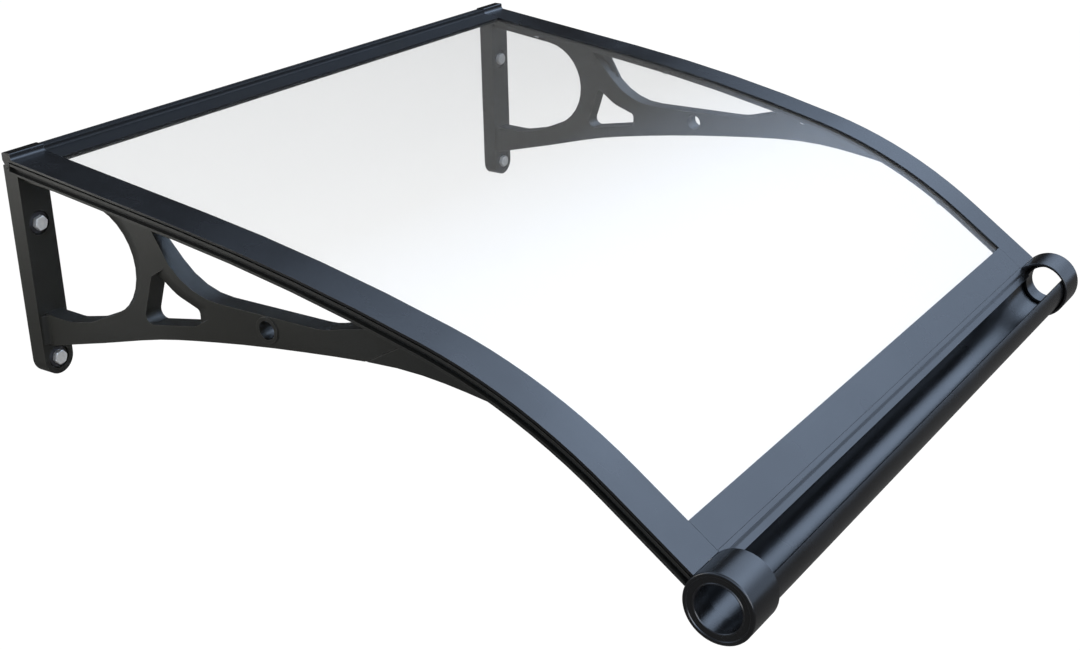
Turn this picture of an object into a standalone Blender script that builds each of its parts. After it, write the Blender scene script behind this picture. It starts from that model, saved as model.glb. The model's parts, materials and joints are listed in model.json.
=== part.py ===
"""Door canopy: a clear curved sheet on two cast brackets, with a front gutter.

Metres, +Z up. X runs along the wall, the wall is the plane Y = 0 and the canopy
reaches out towards -Y. The origin is the centre of the rear rail's back face.

Side shapes are drawn as (out, height) points, where out is the distance from the
wall. Most of them hang from the roof line, the top of the cover strips.
"""
import bpy
import bmesh
from math import acos, atan2, ceil, cos, pi, radians, sin, sqrt, tan
from mathutils import Matrix, Vector

# Overall
CANOPY_WIDTH = 0.800
TOUCH_GAP = 0.0003

# Roof line, from the wall outwards
ROOF_START_DROP = 0.0047
ROOF_SLOPE = radians(7.6)
STRAIGHT_RUN = 0.220
FIRST_BEND_LENGTH = 0.275
FIRST_BEND_TURN = radians(7.0)
SECOND_BEND_LENGTH = 0.195
SECOND_BEND_TURN = radians(21.0)
NOSE_LENGTH = 0.1185
BEND_STEP = radians(2.1)
ARC_STEP = radians(12)
SMOOTH_ANGLE = radians(30)
MERGE_DISTANCE = 0.000001

# Cover strips, sheet and seals, measured square to the roof line
COVER_THICKNESS = 0.0022
COVER_WIDTH = 0.0403
SHEET_THICKNESS = 0.0030
SEAL_THICKNESS = 0.0008
SEAL_INSET = 0.0015
SIDE_SEAL_INSET = 0.0005

# Rear rail
RAIL_TOP_DROP = 0.0012
RAIL_BACK_HEIGHT = 0.0190
RAIL_BODY_DEPTH = 0.0105
UPSTAND_DEPTH = 0.0115
UPSTAND_FILLET = 0.0090
UPSTAND_EDGE = 0.0010
RAIL_FLANGE_REACH = 0.0345
RAIL_CLAMP_REACH = 0.0300
RAIL_CLAMP_THICKNESS = 0.0022
RAIL_GROOVE_START = 0.0125
RAIL_CHAMBER_WALL = 0.0022
CORNER_FOOT_DEPTH = 0.0090
CORNER_FOOT_DROP = 0.0118
CORNER_FOOT_FLAT = 0.0063
CORNER_FOOT_RISE = 0.0045

# Brackets
PLATE_WIDTH = 0.0346
PLATE_THICKNESS = 0.0182
BOLT_SPACING = 0.1390
UPPER_BOLT_DROP = 0.0710
WEB_THICKNESS = 0.0194
WEB_FILLET = 0.0065
WEB_FILLET_STEPS = 6
RIM_DROP = 0.0038
RIM_THICKNESS = 0.0024
RIM_WALL = 0.0025
GROOVE_HEIGHT = 0.0054
GROOVE_DEPTH = 0.0055
GROOVE_START = 0.0095
LIP_THICKNESS = 0.0024
ARM_ROOT_DROP = 0.1914
DISH_DEPTH = 0.0050
DISH_SHIFT_OUT = 0.0145
DISH_SHIFT_UP = 0.0085
DISH_FADE = 0.05
OPENING_MARGIN = 0.0010
WEB_SINK = 0.0060
HOLE_OUT = 0.3133
HOLE_DROP = 0.0667
HOLE_RADIUS = 0.0088
COLLAR_WALL = 0.0034
COLLAR_HEIGHT = 0.0012
CREASE_WIDTH = 0.0010
CREASE_DEPTH = 0.0008
CREASE_OUT = 0.4360
CREASE_DROP = 0.0385
CREASE_ANGLE = radians(30.0)
CREASE_LENGTH = 0.0500

# Gutter
GUTTER_DROP = 0.0045
GUTTER_RADIUS = 0.0270
GUTTER_WALL = 0.0025
GUTTER_STEPS = 32
LIP_ANGLE = radians(66.6)
REAR_WALL_ANGLE = radians(166.0)
LEDGE_START = 0.0311
LEDGE_LENGTH = 0.0135
LEDGE_THICKNESS = 0.0025
LEDGE_OVERLAP = 0.0016
CLAMP_FLANGE_LENGTH = 0.0320
CLAMP_FLANGE_THICKNESS = 0.0022
FRONT_COVER_LENGTH = 0.0316

# Gutter end caps
CAP_RADIUS = 0.0308
CAP_SAG = 0.0008
CAP_LENGTH = 0.0420
CAP_PROUD = 0.0020
CAP_END_THICKNESS = 0.0045
CAP_HOLE_RADIUS = 0.0204
CAP_EDGE = 0.0018
CAP_CORNER = 0.0006
CAP_SEGMENTS = 48

# Wall bolts and washers
BOLT_RADIUS = 0.0040
BOLT_HEAD_FLATS = 0.0130
BOLT_HEAD_HEIGHT = 0.0053
BOLT_TURN = radians(10)
BOLT_HOLE_CLEARANCE = 0.0015
WASHER_RADIUS = 0.0105
WASHER_THICKNESS = 0.0020
WASHER_BORE_CLEARANCE = 0.0004
POCKET_CLEARANCE = 0.0015
POCKET_DEPTH = 0.0040

# Clamp screws, driven from below
SCREW_RADIUS = 0.0020
SCREW_HEAD_RADIUS = 0.0034
SCREW_HEAD_HEIGHT = 0.0020
SCREW_CROWN_RADIUS = 0.0025
SCREW_CROWN_HEIGHT = 0.0007
SCREW_CLEARANCE = 0.0004
SCREW_SKIN = 0.0008
SIDE_SCREW_COUNT = 4
SIDE_SCREW_FIRST = 0.0900
SIDE_SCREW_LAST = 0.6600
CROSS_SCREW_COUNT = 4
CROSS_SCREW_INSET = 0.0900
SCREW_SEGMENTS = 10
ROUND_SEGMENTS = 16

# Sizes that follow from the ones above
HALF_WIDTH = CANOPY_WIDTH / 2
RAIL_TOP = RAIL_BACK_HEIGHT / 2
ROW_TOP = RAIL_TOP + RAIL_TOP_DROP
ROOF_START = ROW_TOP - ROOF_START_DROP
GUTTER_STATION = STRAIGHT_RUN + FIRST_BEND_LENGTH + SECOND_BEND_LENGTH + NOSE_LENGTH
SHEET_DROP = COVER_THICKNESS + TOUCH_GAP
SHEET_BOTTOM_DROP = SHEET_DROP + SHEET_THICKNESS
SEAL_DROP = SHEET_BOTTOM_DROP + TOUCH_GAP
SEAT_DROP = SEAL_DROP + SEAL_THICKNESS + TOUCH_GAP
GROOVE_TOP_DROP = RIM_DROP + RIM_THICKNESS
GROOVE_BOTTOM_DROP = GROOVE_TOP_DROP + GROOVE_HEIGHT
RAIL_BOTTOM_DROP = GROOVE_BOTTOM_DROP + LIP_THICKNESS
REBATE_INSET = GROOVE_DEPTH + RIM_WALL
WEB_INSET = (PLATE_WIDTH - WEB_THICKNESS) / 2
LOWER_BOLT_DROP = UPPER_BOLT_DROP + BOLT_SPACING
SHEET_FRONT = GUTTER_STATION - LEDGE_START - TOUCH_GAP
NOSE_CLEAR_RADIUS = CAP_RADIUS + TOUCH_GAP
CROSS_HALF = HALF_WIDTH - COVER_WIDTH - TOUCH_GAP
POCKET_RADIUS = WASHER_RADIUS + POCKET_CLEARANCE
SCREW_HOLE_RADIUS = SCREW_RADIUS + SCREW_CLEARANCE
SCREW_TIP_DROP = SCREW_SKIN + TOUCH_GAP

# Openings in the web: corners as (out, drop below the roof line, rounding)
OPENING_TOP = RAIL_BOTTOM_DROP + OPENING_MARGIN
D_CENTRE = (0.0953, 0.0751)
D_RADIUS = 0.0545
D_FLOOR = (
    (0.0860, 0.1397, 0.0300),
    (0.0560, 0.1503, 0.0300),
    (PLATE_THICKNESS - WEB_SINK, 0.1547, 0.0),
)
TRIANGLE_OPENING = (
    (0.1760, 0.0613, 0.0030),
    (0.2000, 0.0754, 0.0400),
    (0.2275, 0.0812, 0.0050),
    (0.2275, 0.0952, 0.0040),
    (0.1578, 0.1172, 0.0080),
)
LONG_OPENING = (
    (0.1535, RIM_DROP, 0.0),
    (0.3000, RIM_DROP, 0.0),
    (0.4520, RIM_DROP, 0.0),
    (0.3780, 0.0410, 0.0600),
    (0.2230, 0.0681, 0.0800),
)
# Underside of the arm, from the plate to where it meets the rail
ARM_UNDERSIDE = (
    (0.1000, 0.1562),
    (0.1775, 0.1255),
    (0.2500, 0.1026),
    (0.3550, 0.0706),
    (0.4550, 0.0403),
    (0.5250, 0.0260),
    (0.5850, 0.0130),
)


def roof_frame(station):
    """Out, height and slope of the roof line at a distance along it."""
    out = 0.0
    height = ROOF_START
    slope = ROOF_SLOPE
    left = station
    pieces = roof_pieces()
    for index, (length, turn) in enumerate(pieces):
        is_nose = index == len(pieces) - 1
        step = left if is_nose else min(left, length)
        if turn:
            radius = length / turn
            swept = slope + step / radius
            out += radius * (sin(swept) - sin(slope))
            height += radius * (cos(swept) - cos(slope))
            slope = swept
        else:
            out += step * cos(slope)
            height -= step * sin(slope)
        left -= step
        if left <= 0:
            break
    return out, height, slope


def roof_pieces():
    """Stretches of the roof line as (length, turn)."""
    return (
        (STRAIGHT_RUN, 0.0),
        (FIRST_BEND_LENGTH, FIRST_BEND_TURN),
        (SECOND_BEND_LENGTH, SECOND_BEND_TURN),
        (NOSE_LENGTH, 0.0),
    )


def roof_point(station, drop=0.0, ahead=0.0):
    """Point at a drop square to the roof line, moved ahead along it."""
    out, height, slope = roof_frame(station)
    out += ahead * cos(slope) - drop * sin(slope)
    height -= ahead * sin(slope) + drop * cos(slope)
    return out, height


def roof_stations(start, end):
    """Stations between two places, close enough together in the bends."""
    stations = [start]
    place = 0.0
    for length, turn in roof_pieces():
        pieces = max(1, ceil(turn / BEND_STEP))
        for index in range(pieces):
            station = place + length * index / pieces
            if start + TOUCH_GAP < station < end - TOUCH_GAP:
                stations.append(station)
        place += length
    stations.append(end)
    return stations


def station_at(out):
    """Station whose roof point lies at a given distance from the wall."""
    low = 0.0
    high = 2 * sum(length for length, turn in roof_pieces())
    for _ in range(40):
        middle = (low + high) / 2
        if roof_point(middle)[0] < out:
            low = middle
        else:
            high = middle
    return low


def roof_height(out):
    """Height of the roof line at a distance from the wall."""
    if out <= 0:
        return ROOF_START - out * tan(ROOF_SLOPE)
    return roof_point(station_at(out))[1]


def below_roof(out, drop):
    """Point straight below the roof line."""
    return out, roof_height(out) - drop


def band(start, end, top_drop, bottom_drop):
    """Outline of a strip that follows the roof line."""
    stations = roof_stations(start, end)
    upper = [roof_point(station, top_drop) for station in stations]
    lower = [roof_point(station, bottom_drop) for station in reversed(stations)]
    return upper + lower


def rounded(corners):
    """Outline through (x, y, radius) corners, with an arc at each radius."""
    points = []
    count = len(corners)
    for index, (x, y, radius) in enumerate(corners):
        here = Vector((x, y))
        before = Vector(corners[index - 1][:2]) - here
        after = Vector(corners[(index + 1) % count][:2]) - here
        if radius <= 0:
            points.append((x, y))
            continue
        half = before.angle(after) / 2
        reach = min(radius / tan(half), 0.49 * before.length, 0.49 * after.length)
        radius = reach * tan(half)
        first = here + before.normalized() * reach
        last = here + after.normalized() * reach
        middle = here + (before.normalized() + after.normalized()).normalized() * radius / sin(half)
        start = atan2(first.y - middle.y, first.x - middle.x)
        sweep = atan2(last.y - middle.y, last.x - middle.x) - start
        sweep = (sweep + pi) % (2 * pi) - pi
        pieces = max(2, ceil(abs(sweep) / ARC_STEP))
        for piece in range(pieces + 1):
            angle = start + sweep * piece / pieces
            points.append((middle.x + radius * cos(angle), middle.y + radius * sin(angle)))
    return points


def smooth_line(points, pieces=3):
    """Curve through a list of points."""
    result = []
    last = len(points) - 1
    for index in range(last):
        ends = [Vector(points[min(max(index + offset, 0), last)]) for offset in (-1, 0, 1, 2)]
        for piece in range(pieces):
            t = piece / pieces
            start_pull = (ends[2] - ends[0]) / 2
            end_pull = (ends[3] - ends[1]) / 2
            point = (
                ends[1] * (2 * t**3 - 3 * t**2 + 1)
                + start_pull * (t**3 - 2 * t**2 + t)
                + ends[2] * (3 * t**2 - 2 * t**3)
                + end_pull * (t**3 - t**2)
            )
            result.append((point.x, point.y))
    result.append(tuple(points[last]))
    return result


def gutter_centre():
    """Out and height of the gutter's axis."""
    return roof_point(GUTTER_STATION, GUTTER_DROP)


def cap_centre():
    """Out and height of the end caps' axis, a little below the gutter's."""
    out, height = gutter_centre()
    return out, height - CAP_SAG


def material(name, colour, metallic, roughness, alpha=1.0):
    """Principled material in one colour."""
    made = bpy.data.materials.new(name)
    made.use_nodes = True
    shader = made.node_tree.nodes["Principled BSDF"]
    shader.inputs["Base Color"].default_value = (*colour, 1.0)
    shader.inputs["Metallic"].default_value = metallic
    shader.inputs["Roughness"].default_value = roughness
    shader.inputs["Alpha"].default_value = alpha
    made.diffuse_color = (*colour, alpha)
    return made


def new_object(name, shape, finish=None):
    """Object made from a bmesh, with its faces pointing out."""
    bmesh.ops.remove_doubles(shape, verts=shape.verts, dist=MERGE_DISTANCE)
    bmesh.ops.recalc_face_normals(shape, faces=shape.faces)
    mesh = bpy.data.meshes.new(name)
    shape.to_mesh(mesh)
    shape.free()
    mesh.shade_smooth()
    mesh.set_sharp_from_angle(angle=SMOOTH_ANGLE)
    made = bpy.data.objects.new(name, mesh)
    bpy.context.scene.collection.objects.link(made)
    if finish:
        mesh.materials.append(finish)
    return made


def as_cutter(made):
    """Marks an object as a shape that only cuts or joins another."""
    made.hide_render = True
    made.display_type = "WIRE"
    return made


def mirrored(source, name):
    """Copy of a finished object on the other side of the canopy."""
    graph = bpy.context.evaluated_depsgraph_get()
    mesh = bpy.data.meshes.new_from_object(source.evaluated_get(graph))
    mesh.name = name
    mesh.transform(Matrix.Scale(-1.0, 4, (1.0, 0.0, 0.0)))
    mesh.flip_normals()
    made = bpy.data.objects.new(name, mesh)
    bpy.context.scene.collection.objects.link(made)
    return made


def boolean(target, operation, operand):
    """Cuts or joins the operand into the target."""
    modifier = target.modifiers.new(operand.name, "BOOLEAN")
    modifier.operation = operation
    modifier.solver = "EXACT"
    modifier.object = as_cutter(operand)


def add_rings(shape, rings):
    """Closed solid skinned over rings of world points."""
    loops = [[shape.verts.new(point) for point in ring] for ring in rings]
    count = len(loops[0])
    for lower, upper in zip(loops, loops[1:]):
        for index in range(count):
            following = (index + 1) % count
            shape.faces.new((lower[index], lower[following], upper[following], upper[index]))
    shape.faces.new(loops[0])
    shape.faces.new(loops[-1])


def side_ring(outline, x):
    """Side outline placed at x, in world coordinates."""
    return [(x, -out, height) for out, height in outline]


def prism(outline, x_start, x_end):
    """Bmesh of a side outline extruded along the wall."""
    shape = bmesh.new()
    add_rings(shape, [side_ring(outline, x_start), side_ring(outline, x_end)])
    return shape


def add_rod(shape, start, end, radius, segments=ROUND_SEGMENTS, turn=0.0):
    """Round or many-sided rod between two world points."""
    start = Vector(start)
    axis = Vector(end) - start
    turned = axis.to_track_quat("Z", "Y").to_matrix()
    rings = []
    for length in (0.0, axis.length):
        ring = []
        for index in range(segments):
            angle = turn + 2 * pi * index / segments
            local = Vector((radius * cos(angle), radius * sin(angle), length))
            ring.append(start + turned @ local)
        rings.append(ring)
    add_rings(shape, rings)


def add_box(shape, low, high):
    """Box between two opposite corners."""
    centre = (Vector(low) + Vector(high)) / 2
    size = Vector(high) - Vector(low)
    placed = Matrix.Translation(centre) @ Matrix.Diagonal((*size, 1.0))
    bmesh.ops.create_cube(shape, size=1.0, matrix=placed)


class Side:
    """One side of the canopy: turns a distance in from its outer edge into x."""

    def __init__(self, name, sign):
        self.name = name
        self.sign = sign

    def x(self, inset):
        """World x of a place measured in from the outer edge."""
        return self.sign * (HALF_WIDTH - inset)


SIDES = (Side("left", -1), Side("right", 1))


def upstand_outline(top):
    """Upper outline of the rear upstand, from the wall to the roof line."""
    corners = [
        (0.0, top - UPSTAND_EDGE, 0.0),
        (UPSTAND_EDGE, top, 0.0),
        (UPSTAND_DEPTH, top, UPSTAND_EDGE),
        (UPSTAND_DEPTH, roof_height(UPSTAND_DEPTH), UPSTAND_FILLET),
        (*roof_point(RAIL_FLANGE_REACH), 0.0),
    ]
    return rounded(corners)


def rear_rail_outline():
    """Outline of the rear rail, with the groove that holds the sheet."""
    bottom = RAIL_TOP - RAIL_BACK_HEIGHT
    clamp_bottom = SEAT_DROP + RAIL_CLAMP_THICKNESS
    body_roof = roof_height(RAIL_BODY_DEPTH) - clamp_bottom
    return upstand_outline(RAIL_TOP) + [
        roof_point(RAIL_FLANGE_REACH, COVER_THICKNESS),
        roof_point(RAIL_GROOVE_START, COVER_THICKNESS),
        roof_point(RAIL_GROOVE_START, SEAT_DROP),
        roof_point(RAIL_CLAMP_REACH, SEAT_DROP),
        roof_point(RAIL_CLAMP_REACH, clamp_bottom),
        (RAIL_BODY_DEPTH, body_roof),
        (RAIL_BODY_DEPTH, bottom),
        (0.0, bottom),
    ]


def build_rear_rail(finish):
    """Rear rail between the two corners, hollow inside its body."""
    shape = prism(rear_rail_outline(), -CROSS_HALF, CROSS_HALF)
    rail = new_object("rear_rail", shape, finish)
    chamber = bmesh.new()
    top = RAIL_TOP - RAIL_CHAMBER_WALL
    bottom = RAIL_TOP - RAIL_BACK_HEIGHT + RAIL_CHAMBER_WALL
    end = CROSS_HALF + RAIL_CHAMBER_WALL
    low = (-end, RAIL_CHAMBER_WALL - RAIL_BODY_DEPTH, bottom)
    high = (end, -RAIL_CHAMBER_WALL, top)
    add_box(chamber, low, high)
    boolean(rail, "DIFFERENCE", new_object("rail_chamber", chamber))
    cut_screw_holes(rail, "rail_screw_holes", rear_screw_axes())
    return rail


def build_side_cover(side, finish):
    """Cover strip with the raised corner at the wall."""
    stations = roof_stations(RAIL_FLANGE_REACH, GUTTER_STATION)
    upper = [roof_point(station) for station in stations[1:]]
    lower = [roof_point(station, COVER_THICKNESS) for station in reversed(stations)]
    foot_bottom = ROW_TOP - CORNER_FOOT_DROP
    foot = [
        (CORNER_FOOT_DEPTH, roof_height(CORNER_FOOT_DEPTH) - COVER_THICKNESS),
        (CORNER_FOOT_DEPTH, foot_bottom),
        (CORNER_FOOT_DEPTH - CORNER_FOOT_FLAT, foot_bottom),
        (0.0, foot_bottom + CORNER_FOOT_RISE),
    ]
    outline = upstand_outline(ROW_TOP) + upper + lower + foot
    shape = prism(outline, side.x(0.0), side.x(COVER_WIDTH))
    cover = new_object("side_cover_" + side.name, shape, finish)
    boolean(cover, "DIFFERENCE", nose_cutter("cover_nose_" + side.name))
    cut_screw_holes(cover, "cover_screw_holes_" + side.name, side_screw_axes(side))
    return cover


def nose_cutter(name):
    """Room for the end cap at the front of a strip."""
    out, height = cap_centre()
    shape = bmesh.new()
    end = HALF_WIDTH + CAP_LENGTH
    start = (-end, -out, height)
    add_rod(shape, start, (end, -out, height), NOSE_CLEAR_RADIUS, CAP_SEGMENTS)
    return new_object(name, shape)


def arm_outline():
    """Outline of the web: along the rail and back under the arm."""
    root = (PLATE_THICKNESS / 2, ARM_ROOT_DROP)
    lower = [below_roof(out, drop) for out, drop in smooth_line((root,) + ARM_UNDERSIDE)]
    inside_rail = (RIM_DROP + RAIL_BOTTOM_DROP) / 2
    last = station_at(ARM_UNDERSIDE[-1][0])
    first = station_at(PLATE_THICKNESS / 2)
    upper = [roof_point(station, inside_rail) for station in reversed(roof_stations(first, last))]
    return lower + upper


def corner_outline(corners):
    """Rounded outline of an opening whose corners hang from the roof line."""
    return rounded([(*below_roof(out, drop), radius) for out, drop, radius in corners])


def d_outline():
    """Outline of the D-shaped opening: a big arc closed by the wall plate."""
    centre = Vector(below_roof(*D_CENTRE))
    top = pi / 2 - ROOF_SLOPE
    floor = [Vector(below_roof(out, drop)) for out, drop, _ in D_FLOOR]
    to_floor = floor[0] - centre
    bottom = atan2(to_floor.y, to_floor.x) + acos(D_RADIUS / to_floor.length)
    pieces = ceil((top - bottom) / ARC_STEP)
    arc = []
    for index in range(pieces + 1):
        angle = top + (bottom - top) * index / pieces
        arc.append((centre.x + D_RADIUS * cos(angle), centre.y + D_RADIUS * sin(angle), 0.0))
    rear = floor[-1].x
    start = (rear, arc[0][1] + (arc[0][0] - rear) * tan(ROOF_SLOPE), 0.0)
    lower = [(*point, corner[2]) for point, corner in zip(floor, D_FLOOR)]
    return rounded([start] + arc + lower)


def dished(hole):
    """The hole's outline, stretched away from the wall for its dished edge."""
    hole = [Vector(point) for point in hole]
    shift = Vector((DISH_SHIFT_OUT, DISH_SHIFT_UP))
    middle = sum(hole, Vector((0.0, 0.0))) / len(hole)
    dish = []
    for index, point in enumerate(hole):
        along = hole[(index + 1) % len(hole)] - hole[index - 1]
        outward = Vector((along.y, -along.x)).normalized()
        if outward.dot(point - middle) < 0:
            outward.negate()
        if outward.dot(shift.normalized()) > DISH_FADE:
            ceiling = max(point.y, roof_height(point.x + shift.x) - OPENING_TOP)
            point = Vector((point.x + shift.x, min(point.y + shift.y, ceiling)))
        dish.append((point.x, point.y))
    return dish


def opening_cutter(name, side, hole):
    """Cuts an opening through the web, with a shallow dish on the outer face."""
    over = OPENING_MARGIN
    stretch = (DISH_DEPTH + over) / DISH_DEPTH
    mouth = []
    for (out, height), (wide_out, wide_height) in zip(hole, dished(hole)):
        mouth.append((out + (wide_out - out) * stretch, height + (wide_height - height) * stretch))
    shape = bmesh.new()
    rings = [
        side_ring(mouth, side.x(WEB_INSET - over)),
        side_ring(hole, side.x(WEB_INSET + DISH_DEPTH)),
        side_ring(hole, side.x(WEB_INSET + WEB_THICKNESS + over)),
    ]
    add_rings(shape, rings)
    bmesh.ops.triangulate(shape, faces=shape.faces)
    return new_object(name + "_" + side.name, shape)


def plate_shape(side):
    """Wall plate with a half-round lower end."""
    radius = PLATE_WIDTH / 2
    top = ROOF_START - (RIM_DROP + RAIL_BOTTOM_DROP) / 2
    bottom = ROW_TOP - LOWER_BOLT_DROP
    middle = side.x(radius)
    outline = [(middle - radius, top), (middle + radius, top)]
    segments = CAP_SEGMENTS // 2
    for index in range(segments + 1):
        angle = pi * index / segments
        outline.append((middle + radius * cos(angle), bottom - radius * sin(angle)))
    shape = bmesh.new()
    rings = [[(x, depth, z) for x, z in outline] for depth in (0.0, -PLATE_THICKNESS)]
    add_rings(shape, rings)
    return shape


def web_fillets(side):
    """Rounded corners between the web and the wall plate."""
    shape = bmesh.new()
    sunk = WEB_FILLET / 4
    low = below_roof(PLATE_THICKNESS, ARM_ROOT_DROP - WEB_FILLET)[1]
    high = below_roof(PLATE_THICKNESS, D_FLOOR[-1][1] + OPENING_MARGIN)[1]
    for inset, away in ((WEB_INSET, -1), (WEB_INSET + WEB_THICKNESS, 1)):
        section = [
            (inset - away * sunk, sunk - PLATE_THICKNESS),
            (inset - away * sunk, -PLATE_THICKNESS - WEB_FILLET),
        ]
        for index in range(WEB_FILLET_STEPS + 1):
            angle = pi / 2 * index / WEB_FILLET_STEPS
            across = inset + away * WEB_FILLET * (1 - cos(angle))
            section.append((across, -PLATE_THICKNESS - WEB_FILLET * (1 - sin(angle))))
        section.append((inset + away * WEB_FILLET, sunk - PLATE_THICKNESS))
        rings = [[(side.x(across), y, z) for across, y in section] for z in (low, high)]
        add_rings(shape, rings)
    return new_object("web_fillets_" + side.name, shape)


def bracket_trimmings(side):
    """Cutter for the outer groove, the sheet's rebate and the corner's notch."""
    shape = bmesh.new()
    over = OPENING_MARGIN
    end = GUTTER_STATION + over
    groove = band(GROOVE_START, end, GROOVE_TOP_DROP, GROOVE_BOTTOM_DROP)
    add_rings(shape, [side_ring(groove, side.x(-over)), side_ring(groove, side.x(GROOVE_DEPTH))])
    rebate = band(-over, end, RIM_DROP - over, SEAT_DROP)
    rebate_end = PLATE_WIDTH + over
    start = side.x(REBATE_INSET)
    add_rings(shape, [side_ring(rebate, start), side_ring(rebate, side.x(rebate_end))])
    return new_object("trimmings_" + side.name, shape)


def corner_notch(side):
    """Room in the bracket for the foot of the raised corner."""
    shape = bmesh.new()
    notch_out = CORNER_FOOT_DEPTH + 2 * TOUCH_GAP
    notch_bottom = ROW_TOP - CORNER_FOOT_DROP - TOUCH_GAP
    xs = sorted((side.x(-OPENING_MARGIN), side.x(PLATE_WIDTH + OPENING_MARGIN)))
    low = (xs[0], -notch_out, notch_bottom)
    high = (xs[1], OPENING_MARGIN, ROW_TOP)
    add_box(shape, low, high)
    return new_object("corner_notch_" + side.name, shape)


def bolt_places(side):
    """World places on the wall of the bolts in one bracket."""
    x = side.x(PLATE_WIDTH / 2)
    upper = Vector((x, 0.0, ROW_TOP - UPPER_BOLT_DROP))
    lower = Vector((x, 0.0, ROW_TOP - LOWER_BOLT_DROP))
    return [("upper", upper), ("lower", lower)]


def bolt_holes(side):
    """Holes and round pockets for the wall bolts."""
    shape = bmesh.new()
    front = Vector((0.0, -PLATE_THICKNESS - OPENING_MARGIN, 0.0))
    floor = Vector((0.0, POCKET_DEPTH - PLATE_THICKNESS, 0.0))
    behind = Vector((0.0, OPENING_MARGIN, 0.0))
    for _, place in bolt_places(side):
        add_rod(shape, place + front, place + floor, POCKET_RADIUS, 2 * ROUND_SEGMENTS)
    pockets = new_object("bolt_pockets_" + side.name, shape)
    shape = bmesh.new()
    for _, place in bolt_places(side):
        radius = BOLT_RADIUS + BOLT_HOLE_CLEARANCE
        add_rod(shape, place + front, place + behind, radius)
    return pockets, new_object("bolt_holes_" + side.name, shape)


def crease_cutter(side):
    """Fine line across the outer face of the arm."""
    shape = bmesh.new()
    out, height = below_roof(CREASE_OUT, CREASE_DROP)
    along = Vector((cos(CREASE_ANGLE), sin(CREASE_ANGLE)))
    across = Vector((-along.y, along.x))
    corners = []
    for ahead, aside in ((-1, -1), (1, -1), (1, 1), (-1, 1)):
        offset = along * ahead * CREASE_LENGTH / 2 + across * aside * CREASE_WIDTH / 2
        corners.append((out + offset.x, height + offset.y))
    start = side.x(WEB_INSET - OPENING_MARGIN)
    end = side.x(WEB_INSET + CREASE_DEPTH)
    add_rings(shape, [side_ring(corners, start), side_ring(corners, end)])
    return new_object("crease_" + side.name, shape)


def build_bracket(side, finish):
    """Cast bracket: wall plate, pierced web with its arm, and grooved rail."""
    web = prism(arm_outline(), side.x(WEB_INSET), side.x(WEB_INSET + WEB_THICKNESS))
    bracket = new_object("bracket_" + side.name, web, finish)
    boolean(bracket, "DIFFERENCE", opening_cutter("d_opening", side, d_outline()))
    for name, corners in (("triangle", TRIANGLE_OPENING), ("long", LONG_OPENING)):
        opening = opening_cutter(name + "_opening", side, corner_outline(corners))
        boolean(bracket, "DIFFERENCE", opening)
    rail = band(0.0, GUTTER_STATION, RIM_DROP, RAIL_BOTTOM_DROP)
    rail = [(max(out, 0.0), height) for out, height in rail]
    shape = prism(rail, side.x(0.0), side.x(PLATE_WIDTH))
    boolean(bracket, "UNION", new_object("arm_rail_" + side.name, shape))
    boolean(bracket, "UNION", new_object("plate_" + side.name, plate_shape(side)))
    boolean(bracket, "UNION", web_fillets(side))
    hole = below_roof(HOLE_OUT, HOLE_DROP)
    collar = bmesh.new()
    start = (side.x(WEB_INSET - COLLAR_HEIGHT), -hole[0], hole[1])
    end = (side.x(WEB_INSET + WEB_THICKNESS / 2), -hole[0], hole[1])
    add_rod(collar, start, end, HOLE_RADIUS + COLLAR_WALL, 2 * ROUND_SEGMENTS)
    boolean(bracket, "UNION", new_object("collar_" + side.name, collar))
    through = bmesh.new()
    start = (side.x(0.0), -hole[0], hole[1])
    end = (side.x(PLATE_WIDTH), -hole[0], hole[1])
    add_rod(through, start, end, HOLE_RADIUS, 2 * ROUND_SEGMENTS)
    boolean(bracket, "DIFFERENCE", new_object("web_hole_" + side.name, through))
    boolean(bracket, "DIFFERENCE", bracket_trimmings(side))
    boolean(bracket, "DIFFERENCE", corner_notch(side))
    pockets, holes = bolt_holes(side)
    boolean(bracket, "DIFFERENCE", pockets)
    boolean(bracket, "DIFFERENCE", holes)
    boolean(bracket, "DIFFERENCE", crease_cutter(side))
    boolean(bracket, "DIFFERENCE", nose_cutter("bracket_nose_" + side.name))
    cut_screw_holes(bracket, "bracket_screw_holes_" + side.name, side_screw_axes(side))
    return bracket


def build_sheet(finish):
    """Clear sheet, held between the covers and the seals."""
    start = RAIL_GROOVE_START + 2 * TOUCH_GAP
    outline = band(start, SHEET_FRONT, SHEET_DROP, SHEET_BOTTOM_DROP)
    half = HALF_WIDTH - REBATE_INSET - 2 * TOUCH_GAP
    sheet = new_object("canopy_sheet", prism(outline, -half, half), finish)
    axes = rear_screw_axes() + front_screw_axes()
    for side in SIDES:
        axes += side_screw_axes(side)
    cut_screw_holes(sheet, "sheet_screw_holes", axes)
    return sheet


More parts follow.
